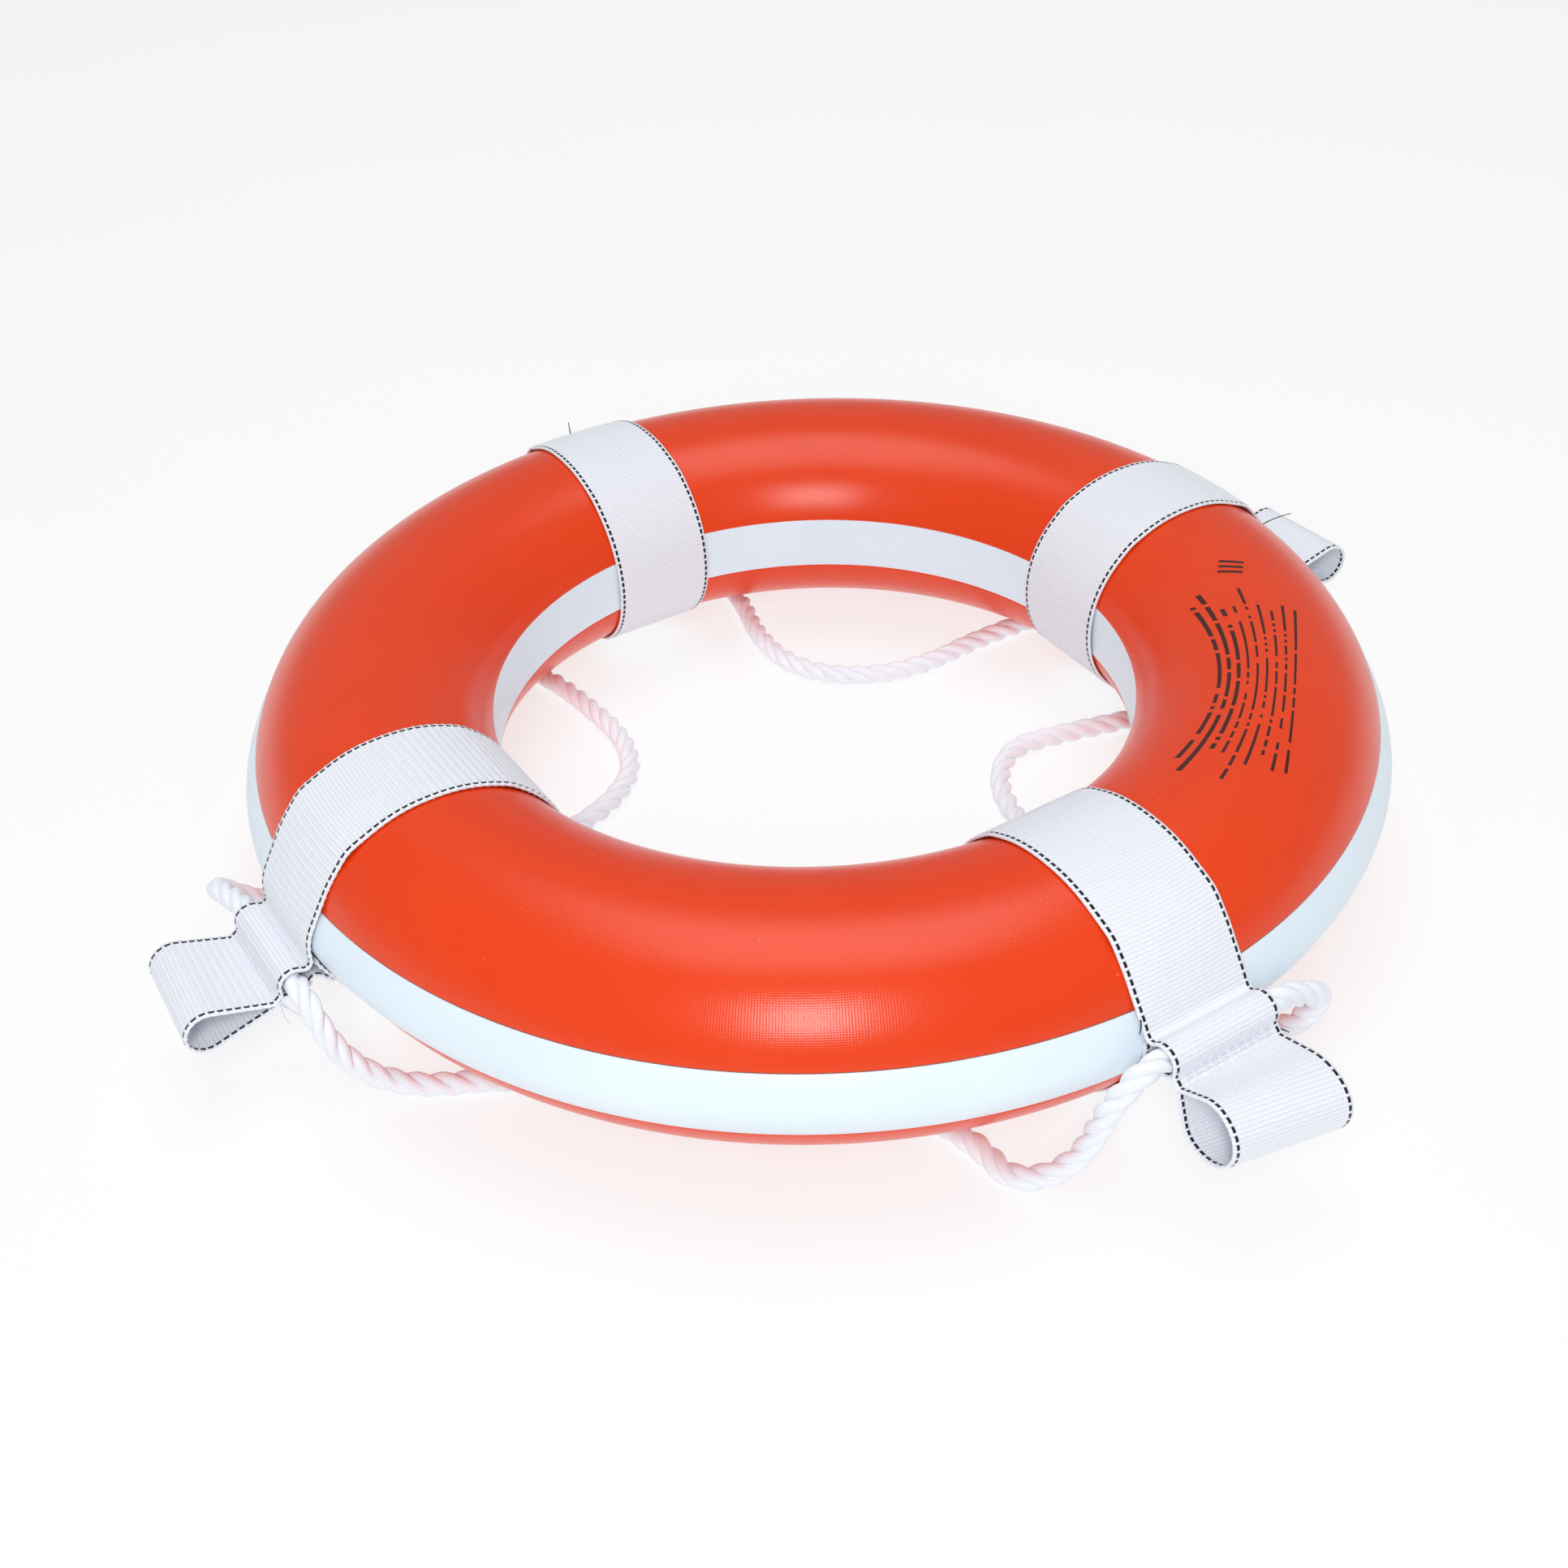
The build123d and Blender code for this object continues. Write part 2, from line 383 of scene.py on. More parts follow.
# %% Join rings of points into a mesh
def lofted(name, lofts, ring=False, **layers):
    """Joins each loft, an array of rings by points by three, into one mesh. Layers are numbers per point."""
    points, faces, base = [], [], 0
    for loft in lofts:
        rings, count, _ = loft.shape
        number = base + np.arange(rings * count).reshape(rings, count)
        here = number if ring else number[:-1]
        there = np.roll(number, -1, 0) if ring else number[1:]
        quads = np.stack([here, np.roll(here, -1, 1), np.roll(there, -1, 1), there], -1).reshape(-1, 4)
        flat = loft.reshape(-1, 3)
        a, b, c, d = (flat[quads[:, k] - base] for k in range(4))
        inside_out = (np.cross(c - a, d - b) * (a + c)).sum() < 0
        ends = [] if ring else [number[0][::-1].tolist(), number[-1].tolist()]
        made = quads.tolist() + ends
        faces += [face[::-1] for face in made] if inside_out else made
        points.append(flat)
        base += rings * count
    mesh = bpy.data.meshes.new(name)
    mesh.from_pydata(np.concatenate(points).tolist(), [], faces)
    mesh.shade_smooth()
    mesh.set_sharp_from_angle(angle=radians(60))
    for layer, values in layers.items():
        attribute = mesh.attributes.new(layer, "FLOAT", "POINT")
        flat = np.concatenate([np.ravel(v) for v in values]).astype(np.float32)
        attribute.data.foreach_set("value", flat)
    piece = bpy.data.objects.new(name, mesh)
    bpy.context.scene.collection.objects.link(piece)
    return piece


def dressed(piece, material):
    """Gives a piece its finish."""
    piece.data.materials.clear()
    piece.data.materials.append(material)
    return piece

# %% [markdown]
# ## Orange skin
# The skin is a soft, satin plastic with the fine cross-hatched grain of its mould. An image of
# grain could be wrapped on, but a torus stretches it. Two waves at right angles, in distances that the
# mesh keeps, give an even grain everywhere, and slow clouds of noise vary its colour and its gloss.

# %% [markdown]
# The skin also carries a block of print by the right strap, which says what the ring is and who passed
# it. Its words belong to its maker, so plain bars of the same ink take the place of the lines, with
# breaks that a random number per cell decides. The first rows bow with the ring and the later ones are
# straighter, so the distance across the rows gets a bend that fades from the first row to the last.
# Both directions, along the rows and across them, are measured from the ring's middle, in plan.

# %% The print, as plain bars
print_turn = 44.2  # degrees from +X to the way that the rows run
print_start, print_end = -88 * mm, 54 * mm
print_edge = 176 * mm
print_middle = -18 * mm
first_bend, bend_fade = 4.2, 116.0  # per metre, and per square metre
row_pitch = 3.8 * mm
row_count = 9
tall_rows = 3
cell_length = 2.3 * mm
thin_half, tall_half = 0.13, 0.21  # half of a bar's height, as a share of the row pitch
gap_chance = 0.22
ragged_start, ragged_end = 22 * mm, -18 * mm
number_run, number_across = (66 * mm, 78.6 * mm), (172 * mm, 183 * mm)
number_pitch = 4.2 * mm
upper_side = 5 * mm


def within(value, low, high):
    """1 where a number is between two others."""
    return (value > low) * (value < high)


def print_block(wire):
    """1 on the ink, on the upper side of the ring."""
    object_place = wire.node("TexCoord", out="Object")
    x, y, z = (wire.node("SeparateXYZ", None, {0: object_place}, k) for k in range(3))
    run = x * cos(radians(print_turn)) + y * sin(radians(print_turn))
    across = x * sin(radians(print_turn)) - y * cos(radians(print_turn))
    off_middle = run - print_middle
    square = off_middle * off_middle
    level = (across - print_edge + square * first_bend) / (1 + square * bend_fade)
    row = (level / row_pitch).math("FLOOR")
    from_middle = ((level / row_pitch).math("FRACT") - 0.5).math("ABSOLUTE")
    cell = (run / cell_length).math("FLOOR")
    chance = wire.node("TexWhiteNoise", {"noise_dimensions": "2D"},
                       {"Vector": wire.node("CombineXYZ", None, {"X": cell, "Y": row})}, "Value")
    ragged = wire.node("TexWhiteNoise", {"noise_dimensions": "1D"}, {"W": row}, "Value")
    thin = from_middle < thin_half
    tall = (from_middle < tall_half) * (row < tall_rows - 0.5)
    ends = (run > ragged * ragged_start + print_start) * (run < ragged * ragged_end + print_end)
    lines = (thin + tall > 0.5) * ends * (chance > gap_chance) * within(row, -0.5, row_count - 0.5)
    bar = ((run - number_run[0]) / number_pitch).math("FRACT")
    number = within(run, *number_run) * within(bar, 0.15, 0.60) * within(across, *number_across)
    return (lines + number) * (z > upper_side)


# %% The orange finish
grain_pitch = 1.8 * mm


def orange_finish():
    material, wire, shader = finish("orange_skin", Specular_IOR_Level=0.42)
    around, over = wire.attribute("around"), wire.attribute("over")
    hatch = (around + over).wave(grain_pitch) * (around - over).wave(grain_pitch)
    clouds = wire.noise(9.0)
    specks = wire.noise(420.0, 1.0).between(0.79, 0.84)
    orange = clouds.mix(colour(229, 59, 4), colour(237, 69, 8))
    orange = (wire.noise(60.0) * 0.25).mix(orange, colour(224, 54, 12))
    dusty = (specks * 0.3).mix(orange, colour(250, 170, 140))
    height = hatch * (0.022 * mm) + wire.noise(700.0, 2.0) * (0.04 * mm)
    printed = print_block(wire)
    feed(shader, Base_Color=(printed * 0.94).mix(dusty, colour(20, 9, 9)))
    feed(shader, Roughness=clouds * 0.08 + 0.22 + printed * 0.12)
    feed(shader, Normal=wire.bump(height, 0.7))
    return material


orange_skin = orange_finish()
print("orange nodes", len(orange_skin.node_tree.nodes))

# %% [markdown]
# ## White bands
# The bands are the same plastic in white, smoother, and slightly blue. Handling leaves them with faint
# scuffs and greyer patches, which noise at two scales gives.

# %% The white finish
def white_finish():
    material, wire, shader = finish("white_band", Specular_IOR_Level=0.5)
    clouds = wire.noise(14.0)
    scuffs = wire.noise(160.0, 6.0, 0.7).between(0.60, 0.72)
    white = clouds.mix(colour(222, 238, 250), colour(236, 247, 254))
    feed(shader, Base_Color=(scuffs * 0.18).mix(white, colour(205, 214, 226)))
    feed(shader, Roughness=scuffs * 0.15 + 0.33)
    feed(shader, Normal=wire.bump(wire.noise(500.0, 2.0) * (0.04 * mm), 0.6))
    return material


white_band = white_finish()

# %% [markdown]
# ## Skins and bands
# Each is a shell that goes once round the ring. A lathe (the Screw modifier) would do, but then the
# grain has no distances to follow. The outline is carried round in small steps instead, and its two
# edges are rounded over, so that a fine groove shows where orange meets white.

# %% Half sections of the shells
around_steps = 720
lip_radius = 0.45


def shell_outline(face):
    """A closed outline: an open face, rounded edges, and the same line again, a wall deeper."""
    slope = np.gradient(face, axis=0)
    slope /= np.linalg.norm(slope, axis=1)[:, None]
    inward = np.stack([-slope[:, 1], slope[:, 0]], -1)
    middle = np.array([tube_radius, 0.0])
    if ((middle - face) * inward).sum() < 0:
        inward = -inward
    lips = []
    for end, sign in ((-1, 1), (0, -1)):
        bend = np.linspace(0, pi / 2, 5)[1:]
        out, down = np.sin(bend)[:, None], (1 - np.cos(bend))[:, None]
        lip = face[end] + slope[end] * sign * lip_radius * out + inward[end] * lip_radius * down
        lips.append(lip if end == -1 else lip[::-1])
    back = (face + inward * skin_wall)[::-1]
    return np.concatenate([face, lips[0], back, lips[1]])


def dome_face(low_outer, low_inner, side):
    """The dome from above the outer band over the top to the inner band, or the same below."""
    first = asin(((low_outer + lip_radius) / half_height) ** (dome_power / 2))
    last = pi - asin(((low_inner + lip_radius) / half_height) ** (dome_power / 2))
    turn = np.linspace(first, last, 90)
    x = half_width * np.abs(np.cos(turn)) ** (2 / dome_power) * np.sign(np.cos(turn))
    z = half_height * np.abs(np.sin(turn)) ** (2 / dome_power)
    return np.stack([tube_radius + x, side * z], -1)


def band_face(x_edge, x_nose, height, power):
    """A band's bowed face. A power below 2 gathers the bow into a soft ridge along its middle."""
    z = np.linspace(-1, 1, 41) * (1 - 2 * lip_radius / height)
    x = x_nose + (x_edge - x_nose) * np.abs(z) ** power
    return np.stack([x, z * height / 2], -1)


def revolved(name, face, node, material):
    """Carries a shell's outline round the ring. It starts under the rear strap, which hides the join."""
    outline = shell_outline(face)
    turn = radians(straps["rear"]["around"]) + np.linspace(0, tau, around_steps, endpoint=False)
    x = outline[None, :, 0] * np.cos(turn)[:, None]
    y = outline[None, :, 0] * np.sin(turn)[:, None]
    loft = np.stack([x, y, outline[None, :, 1] + 0 * x], -1) * mm
    step = np.linalg.norm(np.diff(outline, axis=0, prepend=outline[:1]), axis=1)
    over = np.cumsum(step)[None, :] * mm + 0 * x
    around = (turn - turn[0])[:, None] * tube_radius * mm + 0 * x
    piece = lofted(name, [loft], ring=True, over=[over], around=[around])
    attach(dressed(piece, material), "ring")
    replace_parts(piece, node)
    print(name, len(piece.data.polygons), "faces")


outer_half, inner_half = outer_band_height / 2, inner_band_height / 2
revolved("skin_above", dome_face(outer_half, inner_half, 1), "upper_skin", orange_skin)
revolved("skin_below", dome_face(outer_half, inner_half, -1), "lower_skin", orange_skin)
nose_face = band_face(outer_edge, ring_radius, outer_band_height, 1.7)
revolved("band_outside", nose_face, "outer_band", white_band)
hole_face = band_face(inner_edge, hole_radius, inner_band_height, 2.0)
revolved("band_inside", hole_face, "inner_band", white_band)

# %% [markdown]
# ## Foam core
# The core can't be seen while the ring is whole, but it is a real piece and shows when it is taken
# apart. Its CAD shape is right, so it only needs a finish: closed cells, which a Voronoi pattern gives.

# %% Foam on the CAD core
def foam_finish():
    material, wire, shader = finish("foam", Specular_IOR_Level=0.2)
    place = wire.node("TexCoord", out="Object")
    cells = wire.node("TexVoronoi", None, {"Vector": place, "Scale": 600.0}, "Distance")
    feed(shader, Base_Color=cells.mix(colour(236, 226, 190), colour(206, 192, 148)))
    feed(shader, Roughness=cells * 0.2 + 0.75, Normal=wire.bump(cells * (0.3 * mm), 0.6))
    return material


dressed(frame["nodes"]["foam_core"], foam_finish())

# %% [markdown]
# ## Webbing weave
# The straps are 2 inch webbing: fat weft ribs across, fine warp yarns along, which pass over every
# other rib, and a black tracer near each edge that shows as dashes where it comes to the surface. The
# ribs are in the mesh, because they roughen the webbing's outline. The yarns and the tracer are in the
# finish, in millimetres along and across, and so is painted shade, in darker bands at the rib pitch.

# %% The webbing finish
rib_pitch = 1.7 * mm
yarn_pitch = 1.05 * mm
tracer_inset = 1.7 * mm
tracer_width = 1.25 * mm
tracer_pitch = 2 * rib_pitch
tracer_share = 0.70


def webbing_finish():
    material, wire, shader = finish("webbing", Specular_IOR_Level=0.25, Sheen_Weight=0.25)
    along, across = wire.attribute("along"), wire.attribute("across")
    yarns = across.wave(yarn_pitch) * along.wave(2 * rib_pitch)
    fuzz = wire.noise(900.0, 4.0)
    from_line = (across.math("ABSOLUTE") - (webbing_width / 2 * mm - tracer_inset)).math("ABSOLUTE")
    on_line = 1 - from_line.between(0.4 * tracer_width, 0.6 * tracer_width)
    phase = (along / tracer_pitch).math("FRACT")
    dash = (phase - 0.5).math("ABSOLUTE")
    shown = 1 - dash.between(tracer_share / 2 - 0.05, tracer_share / 2 + 0.05)
    tracer = on_line * shown
    white = fuzz.mix(colour(236, 239, 247), colour(250, 252, 255))
    # painted shade: darker bluish bands at the rib pitch, standing for the shade of the ribs
    rib_shaded = (along.wave(rib_pitch) * 0.3 + 0.3).mix(white, colour(222, 227, 240))
    feed(shader, Base_Color=tracer.mix(rib_shaded, colour(9, 11, 20)))
    feed(shader, Roughness=fuzz * 0.2 + 0.62)
    feed(shader, Normal=wire.bump(yarns * (0.10 * mm) + fuzz * (0.10 * mm) + on_line * (0.12 * mm), 0.9))
    return material


webbing = webbing_finish()

# %% [markdown]
# ## The webbing's way round
# Each strap and its hand loop are one length of webbing. It starts behind the rope, goes under the
# ring, up through the hole and over the top, then folds out over the rope, is sewn to itself, makes the
# hand loop, comes back under the rope and is tucked in below. Round the ring it is taut, so it follows
# the convex hull of the ring's section, and the rest is arcs that touch each other, then smoothed.

# %% Pieces of the way round, in a half section
half_ply = webbing_thickness / 2
fold_radius = 3.0
seam_fillet = 1.5
path_step = 0.34
tail = 6.0
# each crease: its angle in the section, and how far the webbing stands off there
webbing_creases = [(50, 1.4), (126, 0.6), (234, 0.6), (308, 1.0)]
crease_softness = 2.4
fold_softness = 0.8


def arc(centre, radius, start, end):
    """Points of an arc, from one angle to another in degrees."""
    count = max(2, int(abs(radians(end - start)) * radius / path_step) + 2)
    turn = np.radians(np.linspace(start, end, count))
    return centre + radius * np.stack([np.cos(turn), np.sin(turn)], -1)


def taut_round_ring():
    """The middle of webbing pulled tight round the ring: a convex outline, anticlockwise."""
    lift = strap_gap + half_ply
    bow = hole_radius - sqrt(hole_radius**2 - (webbing_width / 2) ** 2)
    turn = np.linspace(0, tau, 720, endpoint=False)
    c, s = np.cos(turn), np.sin(turn)
    x = (half_width + lift) * np.abs(c) ** (2 / dome_power) * np.sign(c)
    z = (half_height + lift) * np.abs(s) ** (2 / dome_power) * np.sign(s)
    dome = np.stack([tube_radius + x - np.where(x < 0, bow, 0), z], -1)
    reach = degrees(asin(outer_band_height / 2 / nose_radius))
    nose = arc(np.array([nose_centre, 0.0]), nose_radius + lift, -reach, reach)
    creases = []
    for angle, stand in webbing_creases:
        c, s = cos(radians(angle)), sin(radians(angle))
        out = (half_width + lift + stand) * abs(c) ** (2 / dome_power) * np.sign(c)
        up = (half_height + lift + stand) * abs(s) ** (2 / dome_power) * np.sign(s)
        creases.append([tube_radius + out - (bow if c < 0 else 0), up])
    cloud = np.concatenate([dome, nose, creases])
    hull = cloud[convex_hull_2d([tuple(p) for p in cloud])]
    if np.cross(hull, np.roll(hull, -1, 0)).sum() < 0:
        hull = hull[::-1]
    outline = evenly(np.concatenate([hull, hull[:1]]), path_step)[:-1]
    margin = len(outline) // 4
    wrapped = np.concatenate([outline[-margin:], outline, outline[:margin]])
    return smoothed(wrapped, crease_softness)[margin:-margin]


def clockwise_round(start, end):
    """The taut outline from near one point clockwise to near another."""
    outline = taut_round_ring()[::-1]
    first = np.linalg.norm(outline - start, axis=1).argmin()
    outline = np.roll(outline, -first, axis=0)
    last = np.linalg.norm(outline[len(outline) // 2:] - end, axis=1).argmin() + len(outline) // 2
    return outline[: last + 1]


def bearing(point, origin):
    """The angle in degrees from one point to another."""
    return degrees(atan2(*(point - origin)[::-1]))


def smoothed(line, width):
    """A line softened over a width, as cloth rounds off a corner. Its ends stay."""
    reach = int(3 * width / path_step)
    offsets = np.arange(-reach, reach + 1)
    weights = np.exp(-0.5 * (offsets * path_step / width) ** 2)
    weights /= weights.sum()
    before = 2 * line[0] - line[reach:0:-1]
    after = 2 * line[-1] - line[-2:-reach - 2:-1]
    padded = np.concatenate([before, line, after])
    return np.stack([np.convolve(padded[:, k], weights, "valid") for k in range(2)], -1)


# %% Put them together for one strap
def fold_centre(nose_line, rope_line, rope, strap, side):
    """The small circle that a fold turns on, between the nose and the tunnel. side is 1 above, -1 below."""
    nose = np.array([nose_centre, 0.0])
    apart = np.linalg.norm(rope - nose)
    one, two = nose_line + fold_radius, rope_line + fold_radius
    spread = degrees(acos((one**2 + apart**2 - two**2) / (2 * one * apart)))
    return nose + aim(strap["tunnel"] + side * spread, one)


def falling(start, end):
    """An end angle that is below the start, and a rising one is above it."""
    return end - 360 * np.ceil((end - start) / 360)


def webbing_line(strap):
    """The middle of one strap's webbing from end to end, evenly stepped, in millimetres."""
    nose = np.array([nose_centre, 0.0])
    rope = rope_centre(strap)
    nose_line = nose_radius + strap_gap + half_ply
    rope_line = rope_radius + tunnel_gap + half_ply
    seam, lean = strap["seam"], strap["loop"]

    above = fold_centre(nose_line, rope_line, rope, strap, 1)
    below = fold_centre(nose_line + webbing_thickness, rope_line, rope, strap, -1)
    start = nose + aim(strap["tunnel"] + 5, nose_line)
    arrive = nose + aim(bearing(above, nose), nose_line)
    leave_above, leave_below = bearing(above, rope), bearing(below, rope)

    part = degrees(asin((half_ply + seam_fillet) / (rope_line + seam_fillet)))
    corner = sqrt((rope_line + seam_fillet) ** 2 - (half_ply + seam_fillet) ** 2)
    side = aim(seam + 90)
    seam_end = seam_start + seam_length

    hinge = rope + aim(seam, hinge_reach)
    fold = hinge + aim(lean, strap["reach"])
    bow = strap["fold"] - half_ply
    spread = degrees(asin((bow - half_ply) / strap["reach"]))
    up, down = lean + 90 + spread, lean - 90 - spread

    turn = bearing(above, nose) + 180
    to_rope = turn + (bearing(rope, above) - turn) % 360
    back = bearing(rope, below)
    to_nose = back + (bearing(nose, below) - back) % 360
    tuck = bearing(below, nose)
    pieces = [
        clockwise_round(start, arrive),
        arc(above, fold_radius, turn, to_rope),
        arc(rope, rope_line, leave_above, falling(leave_above, seam + part)),
        arc(rope + aim(seam, corner) + side * (half_ply + seam_fillet), seam_fillet,
            seam + part + 180, seam + 270),
        [rope + aim(seam, corner) + side * half_ply, rope + aim(seam, seam_end) + side * half_ply],
        [hinge + aim(up, half_ply)],
        arc(fold, bow, up, down),
        [hinge + aim(down, half_ply)],
        [rope + aim(seam, seam_end) - side * half_ply, rope + aim(seam, corner) - side * half_ply],
        arc(rope + aim(seam, corner) - side * (half_ply + seam_fillet), seam_fillet,
            seam + 90, seam + 180 - part),
        arc(rope, rope_line, seam - part, falling(seam - part, leave_below)),
        arc(below, fold_radius, back, to_nose),
        arc(nose, nose_line + webbing_thickness, tuck, tuck - degrees(tail / nose_line)),
    ]
    line = evenly(np.concatenate([np.asarray(p, float).reshape(-1, 2) for p in pieces]), path_step)
    return smoothed(line, fold_softness), length_of(pieces[0])


for name, strap in straps.items():
    line, _ = webbing_line(strap)
    print(name, "webbing", round(length_of(line)), "mm, out to", round(line[:, 0].max(), 1))

# %% [markdown]
# ## The webbing itself
# The line gets webbing's width and thickness, with round selvedges and raised ribs. On the left strap
# the ribs are coarser, in pairs. Where a hand loop was pulled askew, its far end leans sideways.

# %% Sweep the four straps
columns = 34
rib_height = 0.14
paired_rib = {"front": 0.07, "right": 0.05, "rear": 0.04, "left": 0.32}
hugging_run = 16.0  # how far before the fold the webbing stops following the ring's outer curve
skew = {"front": 0.16, "right": -0.05, "rear": 0.04, "left": 0.05}
blend_reach = 1.8  # a distance each side of the hinge, where two points are worked out and not used


def woven_strap(name, strap):
    line, taut = webbing_line(strap)
    slope = np.gradient(line, axis=0)
    slope /= np.linalg.norm(slope, axis=1)[:, None]
    normal = np.stack([-slope[:, 1], slope[:, 0]], -1)
    along = np.arange(len(line)) * path_step
    rib = rib_height * np.cos(tau * along * mm / rib_pitch)
    rib += paired_rib[name] * np.cos(pi * along * mm / rib_pitch)
    thick = half_ply - 0.08 + 0.5 * rib

    flat = webbing_width / 2 - half_ply
    row = np.linspace(-flat, flat, columns)
    edge = np.radians([60, 30, 0, -30, -60])
    across = np.concatenate([row, flat + half_ply * np.cos(edge), row[::-1], -flat - half_ply * np.cos(edge)])
    height = np.concatenate([np.ones(columns), np.sin(edge), -np.ones(columns), -np.sin(edge)])

    hinge = rope_centre(strap) + aim(strap["seam"], hinge_reach)
    outward = (line - hinge) @ aim(strap["loop"])
    past = np.clip(outward / strap["reach"], 0, 1)
    past[line[:, 0] < hinge[0]] = 0
    lean = (past * skew[name])[:, None, None] * across[None, :, None] * aim(strap["loop"])

    to_fold = np.clip((taut - along) / hugging_run, 0, 1)
    hug = np.clip((line[:, 0] - tube_radius) / 25, 0, 1) * to_fold
    drop = (np.sqrt(line[:, 0, None] ** 2 - across[None, :] ** 2) - line[:, 0, None]) * hug[:, None]

    section = line[:, None, :] + normal[:, None, :] * (thick[:, None] * height[None, :])[..., None] + lean
    section[..., 0] += drop
    loft = placed(strap, section, across[None, :] + 0 * section[..., 0])
    layers = {
        "along": [along[:, None] * mm + 0 * loft[..., 0]],
        "across": [across[None, :] * mm + 0 * loft[..., 0]],
    }
    piece = dressed(lofted(f"webbing_{name}", [loft], **layers), webbing)
    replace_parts(piece, f"strap_{name}", f"hand_loop_{name}")
    rope = rope_centre(strap)
    ends = [placed(strap, rope + aim(strap["seam"], hinge_reach + off), 0.0)
            for off in (-blend_reach, blend_reach)]
    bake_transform(piece)
    print(name, len(piece.data.polygons), "faces")


for name, strap in straps.items():
    woven_strap(name, strap)

# %% [markdown]
# ## Thread
# Bonded polyester thread holds each seam: two rows of short stitches on both faces. A stitch is a
# little arch that dives into the webbing at both ends, so it is a bent tube, and the twist of its plies
# is in the finish, with painted shade in its grooves and lighter crests.

# %% The thread finish
def thread_finish(name, light, dark):
    material, wire, shader = finish(name, Specular_IOR_Level=0.4, Sheen_Weight=0.2)
    along, turn = wire.attribute("along"), wire.turn()
    twist = (along * (tau / (0.9 * mm)) + turn).math("SINE")
    # painted shade: the colour is darker in the twist's grooves and lighter on its crests
    feed(shader, Base_Color=(twist * 0.5 + 0.5).mix(dark, light))
    feed(shader, Roughness=twist * 0.08 + 0.5, Normal=wire.bump(twist * (0.05 * mm), 0.8))
    return material


white_thread = thread_finish("thread", colour(246, 247, 252), colour(205, 208, 222))
black_thread = thread_finish("thread_black", colour(46, 48, 58), colour(14, 15, 20))


def tube(line, radius, sides):
    """Rings of points round a line, without twist. Gives the rings, the distance along and the angle."""
    slope = np.gradient(line, axis=0)
    slope /= np.linalg.norm(slope, axis=1)[:, None]
    side = np.cross(slope[0], [0.0, 0.0, 1.0] if abs(slope[0][2]) < 0.9 else [1.0, 0.0, 0.0])
    sideways = []
    for direction in slope:
        side = side - direction * (side @ direction)
        side /= np.linalg.norm(side)
        sideways.append(side)
    sideways = np.array(sideways)
    other = np.cross(slope, sideways)
    angle = np.linspace(0, tau, sides, endpoint=False)
    cosine, sine = np.cos(angle)[None, :, None], np.sin(angle)[None, :, None]
    ring = sideways[:, None, :] * cosine + other[:, None, :] * sine
    radius = np.broadcast_to(np.asarray(radius, float), (len(line),))
    run = np.concatenate([[0], np.cumsum(np.linalg.norm(np.diff(line, axis=0), axis=1))])
    rings = line[:, None, :] + ring * radius[:, None, None]
    return rings, run[:, None] + 0 * rings[..., 0], angle[None, :] + 0 * rings[..., 0]


def joined_tubes(name, made):
    """Tubes as one mesh, which keeps the distance along and the cosine and sine of the angle."""
    rings, along, turn = zip(*made)
    return lofted(name, rings, along=along, cosine=np.cos(turn), sine=np.sin(turn))


# %% Sew the seams
stitch_length = 3.0
stitch_space = 1.2
stitch_rows = (0.8, 2.6)
thread_radius = 0.4
seam_margin = 7.0  # of the width, left without stitches


def sewn(name, strap):
    pitch = stitch_length + stitch_space
    count = int((webbing_width - seam_margin + stitch_space) / pitch)
    rope, side = rope_centre(strap), aim(strap["seam"] + 90)
    across = np.linspace(-0.5, 0.5, 13) * (stitch_length + 0.6)
    rise = webbing_thickness - 0.35 + 0.5 * np.cos(pi * across / (stitch_length + 0.6)) ** 0.5
    made = []
    for row in stitch_rows:
        for i in range(count):
            for face in (1, -1):
                middle = rope + aim(strap["seam"], seam_start + row)
                section = middle + side * (face * rise)[:, None]
                sideways = across + pitch * (i - (count - 1) / 2)
                made.append(tube(placed(strap, section, sideways), thread_radius * mm, 8))
    piece = dressed(joined_tubes(f"stitching_{name}", made), white_thread)
    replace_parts(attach(piece, "ring"), f"seam_stitching_{name}")
    print(name, len(made), "stitches")


for name, strap in straps.items():
    sewn(name, strap)

# %% [markdown]
# Where webbing is cut and sewn, a few ends of thread are left: black ones from the tracer, and frayed
# white ones at the left seam. Each starts inside the webbing and curls away from it as it thins, so none
# floats, and it rides with the ring because its root is on the ring's side of the seam.

# %% Leave a few loose ends
loose_radius = 0.38
seam_root = seam_start + 2.0


def on_webbing(strap, angle):
    """The middle of the taut webbing at an angle from outward, seen from the middle of the ring's section."""
    line, taut = webbing_line(strap)
    taut_part = line[: int(taut / path_step)]
    turned = np.degrees(np.arctan2(taut_part[:, 1], taut_part[:, 0] - tube_radius))
    return taut_part[np.argmin(abs(turned - angle))]


def loose_end(strap, root, sideways, turn, reach, drift):
    """A thread that leaves its root at an angle in the section, and drifts sideways."""
    part = np.linspace(0, 1, 14)
    section = root + reach * (part[:, None] * aim(turn) + 0.25 * part[:, None] ** 2 * aim(turn - 90))
    line = placed(strap, section, sideways + drift * part ** 1.5)
    return tube(line, loose_radius * mm * (1 - 0.5 * part), 6)


def seam_edge(strap):
    return rope_centre(strap) + aim(strap["seam"], seam_root)


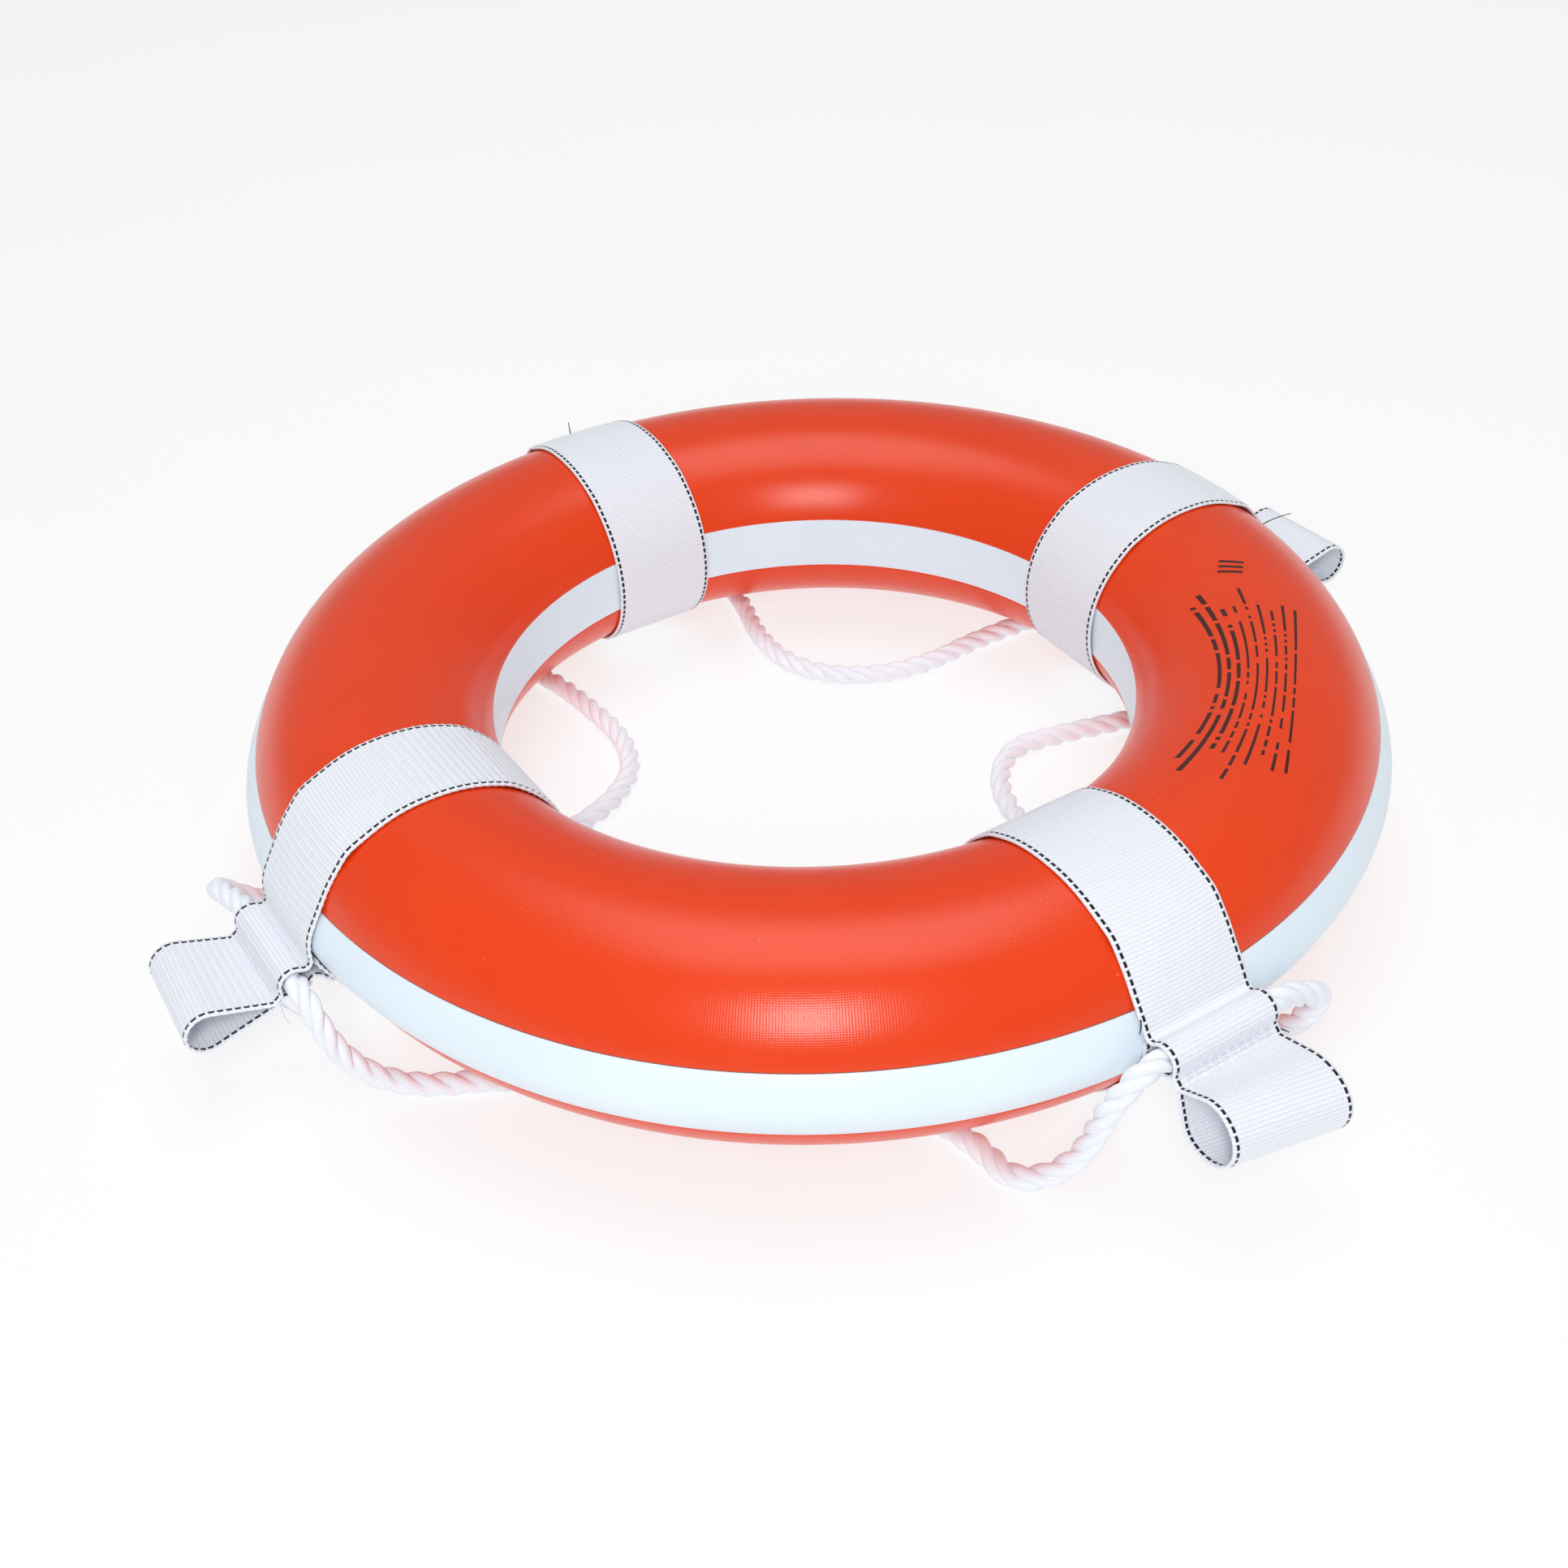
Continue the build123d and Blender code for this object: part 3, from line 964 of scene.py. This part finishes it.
# root in the section, sideways, angle, reach and drift
loose_ends = {
    "front": [
        (on_webbing(straps["front"], 15), -25.0, -50, 5.0, -2.0),
        (seam_edge(straps["front"]), 25.0, 10, 4.0, 2.0),
    ],
    "right": [(rope_centre(straps["right"]) + aim(45, 6.3), 2.0, 82, 17.0, -16.0)],
    "rear": [(on_webbing(straps["rear"], 50), 1.5, 60, 6.5, -1.5)],
    "left": [
        (seam_edge(straps["left"]), 25.0, -80, 11.0, 2.0),
        (seam_edge(straps["left"]), 24.6, -97, 9.0, -3.0),
        (seam_edge(straps["left"]), 25.2, -112, 12.0, 4.0),
    ],
}
for name, ends in loose_ends.items():
    piece = joined_tubes(f"loose_ends_{name}", [loose_end(straps[name], *end) for end in ends])
    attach(dressed(piece, white_thread if name == "left" else black_thread), "ring")
    print(name, len(ends), "loose ends")

# %% [markdown]
# ## Rope
# The grab line is three-strand laid rope, 3/8 inch thick. A plain tube with a bump map never looks laid,
# because its outline stays round. So three strands are twisted round the route's centreline, each a
# tube of its own, and the finish adds the yarns, which turn the other way, as they do in laid rope. The
# grooves between the yarns are painted slightly darker, which is painted shade.

# %% The rope finish
def rope_finish():
    material, wire, shader = finish("rope", Specular_IOR_Level=0.3, Sheen_Weight=0.3)
    along, turn = wire.attribute("along"), wire.turn()
    yarns = (turn * 9.0 - along * (tau / (7.5 * mm))).math("SINE")
    fuzz = wire.noise(800.0, 4.0)
    white = fuzz.mix(colour(234, 238, 247), colour(250, 252, 255))
    # painted shade: the colour is slightly darker in the grooves between the yarns
    feed(shader, Base_Color=(yarns * 0.5 + 0.5).mix(colour(238, 241, 249), white))
    feed(shader, Roughness=fuzz * 0.2 + 0.55)
    feed(shader, Normal=wire.bump(yarns * (0.04 * mm) + fuzz * (0.14 * mm), 0.9))
    return material


rope_white = rope_finish()

# %% Lay the strands along each stretch
lay_length = 30.0 * mm
strand_radius = 2.45 * mm
strand_offset = 2.50 * mm  # a slack rope opens a little, so its strands stand off the middle


def laid_rope(start, end, line):
    rings, _, _ = tube(line, 1.0, 4)
    one = rings[:, 0] - line
    other = rings[:, 1] - line
    run = np.concatenate([[0], np.cumsum(np.linalg.norm(np.diff(line, axis=0), axis=1))])
    made = []
    for k in range(3):
        turn = tau * (run / lay_length + k / 3)
        strand = line + strand_offset * (one * np.cos(turn)[:, None] + other * np.sin(turn)[:, None])
        made.append(tube(strand, strand_radius, 16))
    name = f"grab_line_rope_{start}_{end}"
    piece = dressed(joined_tubes(name, made), rope_white)
    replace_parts(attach(piece, "ring"), f"grab_line_{start}_{end}")
    print(name, round(length_of(line) / mm), "mm")


for (start, end), line in grab_lines.items():
    laid_rope(start, end, line)

# %% [markdown]
# ## Floor and light
# A pale floor lies just under the rope that the ring rests on, and glows a little, so that it stays
# near white. The light is that of a white room: an even world, a tall and narrow lamp above and behind
# the camera that puts the sheen on the near and far slopes, and a broad one overhead.

# %% The floor
floor_mesh = bpy.data.meshes.new("floor")
floor_height = (lying_height - rope_radius - 0.1) * mm
half_floor = 60.0
corners = [(-1, -1), (1, -1), (1, 1), (-1, 1)]
floor_points = [(x * half_floor, y * half_floor, floor_height) for x, y in corners]
floor_mesh.from_pydata(floor_points, [], [(0, 1, 2, 3)])
floor = bpy.data.objects.new("floor", floor_mesh)
bpy.context.scene.collection.objects.link(floor)
floor_white, floor_wire, floor_shader = finish("floor", Specular_IOR_Level=0.0, Roughness=0.9,
                                                Emission_Color=(1.0, 1.0, 1.0, 1.0), Emission_Strength=0.74)
feed(floor_shader, Base_Color=floor_wire.noise(3.0).mix(colour(134, 135, 136), colour(138, 138, 138)))
floor_mesh.materials.append(floor_white)

# %% The lights
world = bpy.data.worlds.new("room")
world.use_nodes = True
world.node_tree.nodes["Background"].inputs["Color"].default_value = (0.95, 0.97, 1.0, 1.0)
world.node_tree.nodes["Background"].inputs["Strength"].default_value = 0.42
bpy.context.scene.world = world


def lamp(name, place, width, height, power):
    """A soft lamp that faces the middle of the ring."""
    data = bpy.data.lights.new(name, "AREA")
    data.shape = "RECTANGLE"
    data.size, data.size_y, data.energy = width, height, power
    light = bpy.data.objects.new(name, data)
    light.location = place
    light.rotation_euler = (-Vector(place)).to_track_quat("-Z", "Y").to_euler()
    bpy.context.scene.collection.objects.link(light)


lamp("main_lamp", (-0.72, -1.03, 0.99), 0.26, 0.75, 10.8)
lamp("overhead_lamp", (0.2, 0.3, 2.2), 1.6, 1.6, 18)
